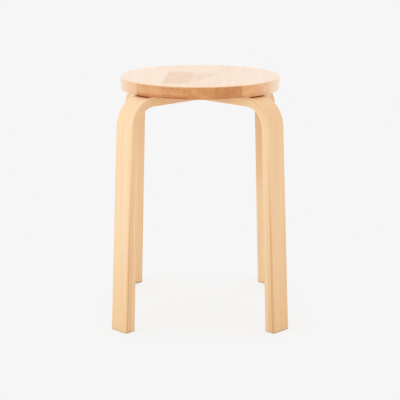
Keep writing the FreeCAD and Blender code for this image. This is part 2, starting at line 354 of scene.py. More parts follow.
def makeBirch(wood):
    material, tree = startMaterial(wood["name"])
    # what the mesh says of each point, and where it lies and faces
    marks = {title: addNode(tree, "ShaderNodeAttribute", {"attribute_name": title}).outputs["Vector"]
             for title in ("boardPlace", "boardTone", "fibreDirection", "edgeShade", "coreWoodAndShadePlace",
                           "jointDistance", "paintedShade")}
    (faceTone, endTone, ringShare), (toGlueBefore, toGlueAfter, lineShare), (atUndersideShade, atFloor, floorwardShadeStrength) = [
        addNode(tree, "ShaderNodeSeparateXYZ", inputs={0: marks[title]}).outputs
        for title in ("boardTone", "jointDistance", "paintedShade")]
    spot = addNode(tree, "ShaderNodeTexCoord").outputs["Object"]
    height = addNode(tree, "ShaderNodeSeparateXYZ", inputs={0: spot}).outputs["Z"]
    flatSpot = addNode(tree, "ShaderNodeVectorMath", times, {0: spot, 1: (1, 1, 0)})
    reach = addNode(tree, "ShaderNodeVectorMath", lengthOf, {0: flatSpot})
    normal = addNode(tree, "ShaderNodeNewGeometry").outputs["Normal"]
    upwards = addNode(tree, "ShaderNodeSeparateXYZ", inputs={0: normal}).outputs["Z"]
    level = addNode(tree, "ShaderNodeMath", unsigned, {0: upwards})
    towards = {}  # how far the surface faces along the fibres, and to a ply's edges
    for title in ("fibreDirection", "edgeShade"):
        along = addNode(tree, "ShaderNodeVectorMath", {"operation": "DOT_PRODUCT"}, {
            0: normal, 1: marks[title]})
        towards[title] = addNode(tree, "ShaderNodeMath", unsigned, {0: along})
    nearest = addNode(tree, "ShaderNodeMath", {"operation": "MINIMUM"}, {0: toGlueBefore, 1: toGlueAfter})
    ring, streak, fibre, vessel = drawGrain(tree, wood, marks["boardPlace"], ringShare)

    # how much of each thing a point shows
    undersideShadeHeights = [seatLow + edge for edge in wood["undersideShadeHeights"]]
    lineStart, lineStop = grain["glueHeights"]
    clear = addNode(tree, "ShaderNodeMapRange", smoothStep, {
        "Value": height, "From Min": lineStart, "From Max": lineStop,
        "To Min": wood["glueAtFloor"], "To Max": wood["glueAtSeat"]})
    lines = addNode(tree, "ShaderNodeMath", times, {0: lineShare, 1: clear})
    glue = fade(tree, lines, (nearest, (wood["glueWidth"], 0)))
    pores = fade(tree, 1, (vessel, grain["poresFrom"]))
    # the round-over along the top turns brown only where it faces mostly forward, so its upper part keeps
    # the pale face colour as a painted highlight
    cut = fade(tree, 1, (towards["fibreDirection"], grain["cutFacing"]), (upwards, grain["lowFacing"]))
    # the outer plies' edges: paler up at the arms as painted light on the bends' sides, deeper at the feet
    edges = fade(tree, towards["edgeShade"], (height, grain["edgeHeights"]))
    # painted light: the arms under the seat are paler
    arms = fade(tree, 1, (reach, grain["armsReach"]), (upwards, grain["lowFacing"]))
    # painted shade, growing towards the feet
    floorwardShade = fade(tree, floorwardShadeStrength, (height, grain["floorwardShadeHeights"]))
    # painted shade near the seat's underside: at the rim's foot, and in the gap over the arms
    undersideShade = fade(tree, atUndersideShade, (height, undersideShadeHeights), (level, wood["undersideShadeFacing"]))
    # painted contact shadow on upright faces just above the floor
    contactShadow = fade(tree, atFloor, (height, grain["contactShadowHeights"]), (level, grain["uprightFacing"]))

    # long faces go from pale to deep with all that darkens them, cut ends from light to deep brown
    deep = addNode(tree, "ShaderNodeMath", minus, {0: faceTone, 1: grain["streaks"] + wood["fibres"]})
    for value, share in (
            (streak, 2 * grain["streaks"]), (fibre, 2 * wood["fibres"]), (ring, grain["ringOnFace"]),
            (pores, grain["poresDeeper"]), (arms, -wood["armsPaler"]),
            (edges, 1 - grain["edgeAtArms"]), (towards["edgeShade"], grain["edgeAtArms"])):
        deep = addNode(tree, "ShaderNodeMath", timesPlus, {0: value, 1: share, 2: deep})
    brown = addNode(tree, "ShaderNodeMath", minus, {0: endTone, 1: grain["streaksOnEnd"]})
    for value, share in ((streak, 2 * grain["streaksOnEnd"]), (ring, wood["ringOnEnd"])):
        brown = addNode(tree, "ShaderNodeMath", timesPlus, {0: value, 1: share, 2: brown})
    colour = addNode(tree, "ShaderNodeMix", mixColours, {
        0: deep, 6: fromHex(wood["pale"]), 7: fromHex(wood["deep"])})
    drunk = addNode(tree, "ShaderNodeMix", mixColours, {
        0: brown, 6: fromHex(wood["cutEnd"]), 7: fromHex(wood["cutEndDeep"])})
    # the tints, in turn: heartwood on the seat and painted shade at the legs' tops, cut ends, painted shade
    # near the seat's underside, painted light on the arms, painted shade towards the feet; then glue lines
    # and the painted contact shadow
    for way, share, shade in (
            (tintColours, drawCoreWoodAndShade(tree, marks["coreWoodAndShadePlace"], streak), fromHex(grain["coreWoodAndShade"])),
            (tintColours, cut, drunk),
            (tintColours, undersideShade, fromHex(wood["undersideShade"])),
            (tintColours, arms, fromHex(wood["arms"])),
            (tintColours, floorwardShade, fromHex(grain["floorwardShade"])),
            (mixColours, glue, fromHex(wood["glue"])),
            (mixColours, contactShadow, fromHex(grain["contactShadow"]))):
        colour = addNode(tree, "ShaderNodeMix", way, {0: share, 6: colour, 7: shade})

    # satin lacquer, duller on cut ends, over fibres that are just raised
    dull = addNode(tree, "ShaderNodeMath", timesPlus, {
        0: cut, 1: grain["dullerEnds"], 2: wood["roughness"] - grain["unevenSheen"] / 2})
    dull = addNode(tree, "ShaderNodeMath", timesPlus, {0: fibre, 1: grain["unevenSheen"], 2: dull})
    raised = fibre
    for hollow, depth in ((pores, grain["poresSunk"]), (glue, grain["glueSunk"])):
        raised = addNode(tree, "ShaderNodeMath", timesPlus, {0: hollow, 1: -depth, 2: raised})
    bump = addNode(tree, "ShaderNodeBump", inputs={
        "Strength": grain["raised"], "Distance": grain["grooveDepth"], "Height": raised})
    surface = addNode(tree, "ShaderNodeBsdfPrincipled", inputs={
        "Base Color": colour, "Roughness": dull, "IOR": grain["ior"], "Coat Weight": wood["coat"],
        "Coat Roughness": grain["coatRoughness"], "Normal": bump})
    addNode(tree, "ShaderNodeOutputMaterial", inputs={"Surface": surface})
    return material


# Steel screws, turned, pressed and zinc plated: a pale, slightly spotted silver, with fine circles on the
# heads that spread the highlights. The circles are drawn coarser than the tool's real feed.

steel = {
    "plating": "#C6C8C6",
    "dullSpots": "#B9BBBA",
    "spotSize": 2 * mm,
    "roughness": 0.3,
    "unevenSheen": 0.2,
    "turningPitch": 0.25 * mm,
    "turningMarks": 0.3,
    "turningDepth": 0.02 * mm,
}


def makeSteel():
    material, tree = startMaterial("zincPlatedTurnedSteel")
    place = addNode(tree, "ShaderNodeAttribute", {"attribute_name": "screwPlace"}).outputs["Vector"]
    flat = addNode(tree, "ShaderNodeVectorMath", times, {0: place, 1: (1, 1, 0)})
    radius = addNode(tree, "ShaderNodeVectorMath", lengthOf, {0: flat})
    circles = addNode(tree, "ShaderNodeTexNoise", alongLine, {
        "W": radius, "Scale": 1 / steel["turningPitch"], "Detail": 3})
    spots = addNode(tree, "ShaderNodeTexNoise", inputs={
        "Vector": place, "Scale": 1 / steel["spotSize"], "Detail": 4})
    shade = addNode(tree, "ShaderNodeMix", tintColours, {
        "Factor": spots, 6: fromHex(steel["plating"]), 7: fromHex(steel["dullSpots"])})
    rough = addNode(tree, "ShaderNodeMath", timesPlus, {
        0: circles, 1: steel["unevenSheen"], 2: steel["roughness"] - steel["unevenSheen"] / 2})
    bump = addNode(tree, "ShaderNodeBump", inputs={
        "Strength": steel["turningMarks"], "Distance": steel["turningDepth"], "Height": circles})
    metal = addNode(tree, "ShaderNodeBsdfPrincipled", inputs={
        "Base Color": shade, "Metallic": 1.0, "Roughness": rough, "Normal": bump})
    addNode(tree, "ShaderNodeOutputMaterial", inputs={"Surface": metal})
    return material


# The screws' sizes are named as their tree's inputs are, and so are the "sizes" of the other pieces.
screws = {
    "Base": 408.3 * mm,  # the heads' height above the floor
    "Tip": 442 * mm,
    "Diameter": 6 * mm,
    "Head Diameter": 11 * mm,
    "Head Land": 0.3 * mm,
    "Tip Chamfer": 1 * mm,
    "Socket Width": 4 * mm,
    "Socket Depth": 3 * mm,
    "Socket Sides": 6,
    "Round Steps": 48,
    "Seed": 7,
}

# Lists go round the legs: back right, back left, front left, front right.
legs = {
    "names": ["back_right", "back_left", "front_left", "front_right"],
    "firstAngle": math.radians(45),
    "plies": {"outer_ply": 4 * mm, "middle_ply": 6 * mm, "inner_ply": 8 * mm},
    "sizes": {
        "Width": 40 * mm,
        "Bend Steps": 40,
        "Round Steps": 6,
        "Bore Diameter": 6.5 * mm,
        "Bore Mouth": 11.6 * mm,
        "Bore Spare": 1 * mm,  # how far the cutter stands out below the arm
        "Bore Steps": 48,
    },
    "armEnd": 21 * mm,  # the stool's axis to an arm's inner end
    "bendRadius": 55 * mm,
    "footReach": 210 * mm,  # the stool's axis to a foot's outer face
    "footDepth": 22 * mm,
    "splay": math.radians(3),
    "edgeRound": 2 * mm,
    "endEase": 0.5 * mm,
    "easeSteps": 4,
    "touching": 0.05 * mm,  # a point that is nearer to a face lies on it
    "faceTones": {  # how deep each ply's colour is: partly the veneers' own tone, partly painted light and shade, paler on faces towards the left lamps and deeper on faces turned away from them
        "outer_ply": [0.04, 0.06, 0.03, 0.44],
        "middle_ply": [0.34, 0.14, 0.38, 0.18],
        "inner_ply": [0.08, 0.06, 0.3, 0.06],
    },
    "endTones": {"outer_ply": 0.3, "middle_ply": 0.5, "inner_ply": 0.4},
    "edgeShade": {"outer_ply": 0.6, "middle_ply": 0.1, "inner_ply": 0.0},  # how much deeper its edges are
    "rings": [1, 1, 1, 0.5],  # how clear they are
    "coreWoodAndShade": {  # painted shade at the leg's top under the seat, drawn as a warmer stretch: how far from the arm's end it reaches, and how strong it is
        "outer_ply": [(330 * mm, 0.35), (200 * mm, 0), (150 * mm, 0.18), (170 * mm, 0.2)],
        "middle_ply": [(330 * mm, 0.35), (200 * mm, 0), (200 * mm, 0.12), (75 * mm, 0.25)],
        "inner_ply": [(330 * mm, 0.35), (200 * mm, 0), (200 * mm, 0.12), (75 * mm, 0.25)],
    },
    "contactShadow": [0.3, 1.0, 0.35, 0.5],  # how dark each foot's painted contact shadow is
    "floorwardShadeStrength": {  # how strong each ply's painted shade towards its foot is
        "outer_ply": [0.07, 0.65, 1.0, 0.85],
        "middle_ply": [0.07, 0.65, 0.65, 0.85],
        "inner_ply": [0.07, 0.65, 0.65, 0.85],
    },
    "pithOutside": {"outer_ply": 42 * mm, "middle_ply": 70 * mm, "inner_ply": 60 * mm},  # of the outer face
    "pithAside": [-22 * mm, -11 * mm, 0, 11 * mm, 22 * mm],  # the plies take these in turn
    "climb": {"outer_ply": 0.035, "middle_ply": 0.01, "inner_ply": 0.015},  # the pith's, along the strip
    "firstVeneer": 20,  # where the veneers lie in the pattern, and how far apart, so that none are alike
    "veneerStep": 3.0,
}
armDepth = sum(legs["plies"].values())


def legTurn(legNumber):
    return legs["firstAngle"] + legNumber * 2 * math.pi / len(legs["names"])


# The screws' places: a row along each arm, repeated round the stool. Three trees share this group.

places = {
    "First Reach": 56 * mm,  # the stool's axis to an arm's inner screw
    "Spacing": 44.48 * mm,
    "Per Arm": 2,
    "Arms": len(legs["names"]),
    "First Angle": legs["firstAngle"],
}


def makePlacesGroup():
    tree, given = startTree("screwPlaces", places)
    start = addNode(tree, "ShaderNodeCombineXYZ", inputs={"X": given["First Reach"]})
    step = addNode(tree, "ShaderNodeCombineXYZ", inputs={"X": given["Spacing"]})
    row = addNode(tree, "GeometryNodeMeshLine", inputs={
        "Count": given["Per Arm"], "Start Location": start, "Offset": step})
    hub = addNode(tree, "GeometryNodeMeshLine", inputs={"Count": given["Arms"], "Offset": (0, 0, 0)})
    quarter = addNode(tree, "ShaderNodeMath", over, {0: 2 * math.pi, 1: given["Arms"]})
    index = addNode(tree, "GeometryNodeInputIndex")
    angle = addNode(tree, "ShaderNodeMath", timesPlus, {0: index, 1: quarter, 2: given["First Angle"]})
    arms = addNode(tree, "GeometryNodeInstanceOnPoints", inputs={
        "Points": hub, "Instance": row, "Rotation": turnLevel(tree, angle)})
    points = addNode(tree, "GeometryNodeRealizeInstances", inputs={"Geometry": arms})
    addNode(tree, "NodeGroupOutput", inputs={"Geometry": points})
    return tree


placesGroup = makePlacesGroup()


def copyToPlaces(tree, given, inputs):  # inputs: the part, and how each copy is turned
    spots = addNode(tree, "GeometryNodeGroup", {"node_tree": placesGroup}, {
        name: given[name] for name in places})
    return addNode(tree, "GeometryNodeInstanceOnPoints", inputs={"Points": spots, **inputs})


def boreAtPlaces(tree, given, body, drill):
    drills = copyToPlaces(tree, given, {"Instance": drill})
    bores = addNode(tree, "GeometryNodeRealizeInstances", inputs={"Geometry": drills})
    return addNode(tree, "GeometryNodeMeshBoolean", cutAway, {"Mesh 1": body, "Mesh 2": bores})


# The seat's staves. Each is cut from the same disc with rounded rims by its own board.

seat = {
    "sizes": {
        "Diameter": seatDiameter,
        "Thickness": seatHigh - seatLow,
        "Underside": seatLow,
        "Top Round": 3 * mm,
        "Bottom Round": 2 * mm,
        "Round Steps": 6,
        "Rim Steps": 240,
        "Board Angle": math.radians(3),
        "Board Longer": 1.2,  # times the disc, so that it reaches past both rims
        "Pilot Diameter": screws["Diameter"],
        "Pilot Top": 443 * mm,
        "Pilot Steps": 32,
    },
    "boardCount": 7,
    "blankSpare": 17 * mm,  # what was cut off at the left and at the right
    "blankShift": 10 * mm,  # how far right of the seat's middle the blank's was
    "boardStep": 2.0,  # how far apart the boards lie in the pattern, so that no two are alike
    # For each board, from the left. pith: from the board's middle, across and up, in mm. climb: how much
    # the pith climbs along it. tones: how deep its faces and its cut ends are, and how clear its rings.
    # line: how clear its glue lines are. After that: how much painted shade darkens the rim's foot, and,
    # for some boards, where the heartwood starts and stops along it and its right edge at these places, in
    # mm.
    "boards": [
        {"pith": (90, -40), "climb": 0.02, "tones": (0.20, 0.03, 0.3), "line": 0.5, "rimFootShade": 0},
        {"pith": (12, -70), "climb": 0.05, "tones": (0.26, 0.38, 0.35), "line": 0.6, "rimFootShade": 1},
        {"pith": (-6, -88), "climb": 0.04, "tones": (0.30, 0.46, 0.6), "line": 0.6, "rimFootShade": 1,
         "coreWoodAndShade": {"from": -116, "to": 36, "edge": (-8, -8), "strength": 0.5}},
        {"pith": (48, 44), "climb": -0.10, "tones": (0.32, 0.60, 0.7), "line": 0.5, "rimFootShade": 0.2,
         "coreWoodAndShade": {"from": -100, "to": 18, "edge": (-10, 42), "strength": 0.28}},
        {"pith": (-7, -10), "climb": 0.03, "tones": (0.33, 0.68, 1.1), "line": 1.4, "rimFootShade": 0.1},
        {"pith": (30, -95), "climb": 0.05, "tones": (0.26, 0.25, 0.35), "line": 1.4, "rimFootShade": 0.25},
        {"pith": (-60, -60), "climb": 0.03, "tones": (0.22, 0.12, 0.3), "line": 0.5, "rimFootShade": 0},
    ],
}


def makeStaveTree():
    tree, given = startTree("seatStave", {
        **seat["sizes"], **places, "Board Middle": 0.0, "Board Width": 0.0, "Material": None})
    # half the disc's section, rounded at its two outer corners and swept round the axis; y points down
    half = addNode(tree, "ShaderNodeMath", over, {0: given["Diameter"], 1: 2})
    quarter = addNode(tree, "ShaderNodeMath", over, {0: given["Diameter"], 1: 4})
    section, x, _, rounding = startSection(
        tree, half, given["Thickness"], given["Top Round"], given["Bottom Round"])
    atRim = addNode(tree, "FunctionNodeCompare", greater, {0: x, 1: 0})
    rimOnly = addNode(tree, "GeometryNodeSwitch", pickNumber, {
        "Switch": atRim, "False": 0, "True": rounding})
    eased = addNode(tree, "GeometryNodeFilletCurve", {"mode": "POLY"}, {
        "Curve": section, "Count": given["Round Steps"], "Radius": rimOnly})
    circle = addNode(tree, "GeometryNodeCurvePrimitiveCircle", inputs={
        "Resolution": given["Rim Steps"], "Radius": quarter})
    swept = addNode(tree, "GeometryNodeCurveToMesh", inputs={"Curve": circle, "Profile Curve": eased})
    welded = addNode(tree, "GeometryNodeMergeByDistance", inputs={
        "Geometry": swept, "Distance": shading["weld"]})
    middle = addNode(tree, "ShaderNodeMath", timesPlus, {
        0: given["Thickness"], 1: 0.5, 2: given["Underside"]})
    disc = lift(tree, welded, middle)
    # the board, longer and thicker than the disc, turned about the axis
    length = addNode(tree, "ShaderNodeMath", times, {0: given["Diameter"], 1: given["Board Longer"]})
    boardSize = addNode(tree, "ShaderNodeCombineXYZ", inputs={
        "X": given["Board Width"], "Y": length, "Z": half})
    block = addNode(tree, "GeometryNodeMeshCube", inputs={"Size": boardSize})
    across = addNode(tree, "ShaderNodeCombineXYZ", inputs={"X": given["Board Middle"], "Z": middle})
    slid = addNode(tree, "GeometryNodeTransform", inputs={"Geometry": block, "Translation": across})
    back = addNode(tree, "ShaderNodeMath", times, {0: given["Board Angle"], 1: -1})
    board = addNode(tree, "GeometryNodeTransform", inputs={
        "Geometry": slid, "Rotation": turnLevel(tree, back)})
    stave = addNode(tree, "GeometryNodeMeshBoolean", common, {"Mesh 2": [disc, board]})
    # pilot bores for the screws, open at the underside
    depth = addNode(tree, "ShaderNodeMath", minus, {0: given["Pilot Top"], 1: given["Underside"]})
    twice = addNode(tree, "ShaderNodeMath", times, {0: depth, 1: 2})
    thin = addNode(tree, "ShaderNodeMath", over, {0: given["Pilot Diameter"], 1: 2})
    drill = addNode(tree, "GeometryNodeMeshCylinder", inputs={
        "Vertices": given["Pilot Steps"], "Radius": thin, "Depth": twice})
    bored = boreAtPlaces(tree, given, stave, lift(tree, drill, given["Underside"]))
    return endTree(tree, bored, given["Material"])


def makeStave(place, tree, material):
    width = (seatDiameter + 2 * seat["blankSpare"]) / seat["boardCount"]
    left = seat["blankShift"] - seatDiameter / 2 - seat["blankSpare"] + place * width
    middle = left + width / 2
    board = seat["boards"][place]
    name = f"seat_stave_{place + 1}"
    piece = runTree(f"{name}_birch", tree, {
        "Board Middle": middle, "Board Width": width, "Material": material})
    tidyMesh(piece)

    # the board's own space, for its grain
    x, y, z = pointsOf(piece).T
    turn = seat["sizes"]["Board Angle"]
    across = x * math.cos(turn) - y * math.sin(turn)
    along = x * math.sin(turn) + y * math.cos(turn)
    up = z - (seatLow + seatHigh) / 2
    pithAcross, pithUp = (value * mm for value in board["pith"])
    writeVectors(piece, "boardPlace", along + place * seat["boardStep"],
                 across - middle - pithAcross, up - pithUp - board["climb"] * along)
    writeVectors(piece, "fibreDirection", math.sin(turn), math.cos(turn), 0)
    writeVectors(piece, "boardTone", *board["tones"])
    writeVectors(piece, "jointDistance", across - left, left + width - across, board["line"])
    # painted shade at the rim's foot; none at the floor or towards the feet
    writeVectors(piece, "paintedShade", board["rimFootShade"], 0, 0)
    if "coreWoodAndShade" in board:
        coreWoodAndShade = board["coreWoodAndShade"]
        run = (along / mm - coreWoodAndShade["from"]) / (coreWoodAndShade["to"] - coreWoodAndShade["from"])
        edgeAtStart, edgeAtStop = coreWoodAndShade["edge"]
        inside = (edgeAtStart + (edgeAtStop - edgeAtStart) * run - across / mm) * mm / width
        writeVectors(piece, "coreWoodAndShadePlace", run, inside, coreWoodAndShade["strength"])
    evenShading(piece)
    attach(piece, "root")
    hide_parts(name)
    return piece


# The legs' plies. Each is a flat section swept along a bent path, from the arm's end to the foot.

def makePlyTree():
    tree, given = startTree("bentPly", {
        **legs["sizes"], **places, **dict.fromkeys(["Arm End", "Corner", "Foot"], (0, 0, 0)),
        **dict.fromkeys(["Bend Radius", "Thickness", "Outer Round", "Inner Round", "Splay Slope",
                         "Foot Swell", "Swell Height", "Arm Underside", "Turn"], 0.0), "Material": None})
    # the path: arm, corner and foot, with the corner rounded
    line = addNode(tree, "GeometryNodeMeshLine", inputs={"Count": 3})
    index = addNode(tree, "GeometryNodeInputIndex")
    pick = addNode(tree, "GeometryNodeIndexSwitch", {"data_type": "VECTOR"})
    pick.index_switch_items.new()
    for place, value in enumerate([index.outputs[0], given["Arm End"], given["Corner"], given["Foot"]]):
        tree.links.new(value, pick.inputs[place])
    placed = addNode(tree, "GeometryNodeSetPosition", inputs={"Geometry": line, "Position": pick})
    path = addNode(tree, "GeometryNodeMeshToCurve", inputs={"Mesh": placed})
    bent = addNode(tree, "GeometryNodeFilletCurve", {"mode": "POLY"}, {
        "Curve": path, "Count": given["Bend Steps"], "Radius": given["Bend Radius"]})
    # the section; y points from the outer to the inner face
    section, _, isInner, rounding = startSection(
        tree, given["Width"], given["Thickness"], given["Outer Round"], given["Inner Round"])
    eased = addNode(tree, "GeometryNodeFilletCurve", {"mode": "POLY"}, {
        "Curve": section, "Count": given["Round Steps"], "Radius": rounding})
    marked = addNode(tree, "GeometryNodeStoreNamedAttribute", {"data_type": "FLOAT"}, {
        "Geometry": eased, "Name": "innerSide", "Value": isInner})
    swept = addNode(tree, "GeometryNodeCurveToMesh", inputs={
        "Curve": bent, "Profile Curve": marked, "Fill Caps": True})
    # the foot swells inwards towards the floor, and its end is sawn level
    spot = addNode(tree, "GeometryNodeInputPosition")
    height = addNode(tree, "ShaderNodeSeparateXYZ", inputs={0: spot}).outputs["Z"]
    share = addNode(tree, "ShaderNodeMapRange", inputs={
        "Value": height, "From Min": given["Swell Height"], "From Max": 0, "To Max": given["Foot Swell"]})
    innerSide = addNode(tree, "GeometryNodeInputNamedAttribute", {"data_type": "FLOAT"}, {
        "Name": "innerSide"})
    swell = addNode(tree, "ShaderNodeMath", times, {0: share, 1: innerSide})
    inwards = addNode(tree, "ShaderNodeMath", times, {0: swell, 1: -1})
    thicker = addNode(tree, "ShaderNodeCombineXYZ", inputs={"X": inwards})
    swollen = addNode(tree, "GeometryNodeSetPosition", inputs={"Geometry": swept, "Offset": thicker})
    nearFloor = addNode(tree, "FunctionNodeCompare", {"operation": "LESS_THAN"}, {
        0: height, 1: given["Thickness"]})
    outwards = addNode(tree, "ShaderNodeMath", times, {0: height, 1: given["Splay Slope"]})
    down = addNode(tree, "ShaderNodeMath", times, {0: height, 1: -1})
    slide = addNode(tree, "ShaderNodeCombineXYZ", inputs={"X": outwards, "Z": down})
    level = addNode(tree, "GeometryNodeSetPosition", inputs={
        "Geometry": swollen, "Selection": nearFloor, "Offset": slide})
    welded = addNode(tree, "GeometryNodeMergeByDistance", inputs={
        "Geometry": level, "Distance": shading["weld"]})
    # bores through the arm, with a countersunk mouth at its underside
    half = addNode(tree, "ShaderNodeMath", over, {0: given["Bore Diameter"], 1: 2})
    drill = addNode(tree, "GeometryNodeMeshCylinder", inputs={
        "Vertices": given["Bore Steps"], "Radius": half, "Depth": given["Width"]})
    wide = addNode(tree, "ShaderNodeMath", timesPlus, {
        0: given["Bore Mouth"], 1: 0.5, 2: given["Bore Spare"]})
    tall = addNode(tree, "ShaderNodeMath", minus, {0: wide, 1: half})
    mouth = addNode(tree, "GeometryNodeMeshCone", inputs={
        "Vertices": given["Bore Steps"], "Radius Top": half, "Radius Bottom": wide, "Depth": tall})
    down = addNode(tree, "ShaderNodeMath", times, {0: given["Bore Spare"], 1: -1})
    cutter = addNode(tree, "GeometryNodeMeshBoolean", joined, {"Mesh 2": [drill, lift(tree, mouth, down)]})
    bored = boreAtPlaces(tree, given, welded, lift(tree, cutter, given["Arm Underside"]))
    turned = addNode(tree, "GeometryNodeTransform", inputs={
        "Geometry": bored, "Rotation": turnLevel(tree, given["Turn"])})
    return endTree(tree, turned, given["Material"])


def bendCentre():
    slope = math.tan(legs["splay"])
    height = seatLow - legs["bendRadius"]
    return legs["footReach"] - slope * height - legs["bendRadius"] / math.cos(legs["splay"]), height


def stripSpace(points, turn):  # along and across the strip, below its outer face, and the fibres' way
    x, y, z = points.T
    reach = x * math.cos(turn) + y * math.sin(turn)
    across = y * math.cos(turn) - x * math.sin(turn)
    centreReach, centreHeight = bendCentre()
    out, up = reach - centreReach, z - centreHeight
    angle = np.clip(np.arctan2(out, up), 0, math.pi / 2 - legs["splay"])
    depth = legs["bendRadius"] - (out * np.sin(angle) + up * np.cos(angle))
    middle = legs["bendRadius"] - armDepth / 2
    straight = out * np.cos(angle) - up * np.sin(angle)
    along = centreReach - legs["armEnd"] + angle * middle + straight
    fibres = (np.cos(angle) * math.cos(turn), np.cos(angle) * math.sin(turn), -np.sin(angle))
    return along, across, depth, fibres


def easeEnds(piece, turn, top, bottom):  # softens the sawn ends, but not where the plies meet
    work = bmesh.new()
    work.from_mesh(piece.data)
    near = legs["touching"]
    glued = [face for face in (top, bottom) if 0 < face < armDepth]
    spots = pointsOf(piece)
    along, _, depth, _ = stripSpace(spots, turn)
    atEnd = (along < near) | (spots[:, 2] < near)
    chosen = []
    for edge in work.edges:
        ends = [vertex.index for vertex in edge.verts]
        inGlue = any(all(abs(depth[end] - face) < near for end in ends) for face in glued)
        if all(atEnd[end] for end in ends) and not inGlue:
            chosen.append(edge)
    bmesh.ops.bevel(work, geom=chosen, offset=legs["endEase"], offset_type="OFFSET",
                    segments=legs["easeSteps"], profile=0.5, affect="EDGES", clamp_overlap=True)
    work.to_mesh(piece.data)
    work.free()


def makePly(legNumber, plyName, tree, material):
    name = f"{legs['names'][legNumber]}_leg_{plyName}"
    plyNames = list(legs["plies"])
    place = plyNames.index(plyName)
    thickness = legs["plies"][plyName]
    top = sum(legs["plies"][other] for other in plyNames[:place])
    bottom = top + thickness
    outermost, innermost = top == 0, bottom == armDepth
    turn = legTurn(legNumber)
    middle = (top + bottom) / 2
    slope = math.tan(legs["splay"])
    slant = math.cos(legs["splay"])
    armHeight = seatLow - middle
    footReach = legs["footReach"] - middle / slant
    # it is bent and bored along x as one arm, and then turned to its leg's place
    piece = runTree(f"{name}_birch", tree, {
        "Arm End": (legs["armEnd"], 0, armHeight), "Corner": (footReach - slope * armHeight, 0, armHeight),
        "Foot": (footReach, 0, 0), "Bend Radius": legs["bendRadius"] - middle, "Thickness": thickness,
        "Outer Round": legs["edgeRound"] if outermost else 0.0,
        "Inner Round": legs["edgeRound"] if innermost else 0.0, "Splay Slope": slope,
        "Foot Swell": legs["footDepth"] - armDepth / slant if innermost else 0.0,
        "Swell Height": bendCentre()[1], "Arm Underside": seatLow - armDepth, "Turn": turn,
        "Arms": 1, "First Angle": 0.0, "Material": material})
    tidyMesh(piece)
    easeEnds(piece, turn, top, bottom)

    # the ply's own space, for its grain, and what it has been through
    along, across, depth, fibres = stripSpace(pointsOf(piece), turn)
    serial = len(plyNames) * legNumber + place
    pithAside = legs["pithAside"][serial % len(legs["pithAside"])]
    writeVectors(piece, "boardPlace", along + legs["firstVeneer"] + legs["veneerStep"] * serial,
                 across + pithAside, depth + legs["pithOutside"][plyName] - legs["climb"][plyName] * along)
    writeVectors(piece, "fibreDirection", *fibres)
    writeVectors(piece, "boardTone", legs["faceTones"][plyName][legNumber], legs["endTones"][plyName],
                 legs["rings"][legNumber])
    # painted shade at the leg's top under the seat, drawn with the heartwood's warm tint
    legShadeReach, legShadeStrength = legs["coreWoodAndShade"][plyName][legNumber]
    writeVectors(piece, "coreWoodAndShadePlace", along / legShadeReach, 1, legShadeStrength)
    edgeShade = legs["edgeShade"][plyName]
    writeVectors(piece, "edgeShade", -math.sin(turn) * edgeShade, math.cos(turn) * edgeShade, 0)
    # painted shade: in the gap under the seat, as a contact shadow at the floor, and deeper towards the
    # foot
    writeVectors(piece, "paintedShade", 1, legs["contactShadow"][legNumber], legs["floorwardShadeStrength"][plyName][legNumber])
    writeVectors(piece, "jointDistance",
                 1 if outermost else depth - top, 1 if innermost else bottom - depth, 1)
    evenShading(piece)
    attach(piece, "root")
    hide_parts(name)
    return piece


# The screws: countersunk, with a hexagon socket, each turned as its thread happened to stop.

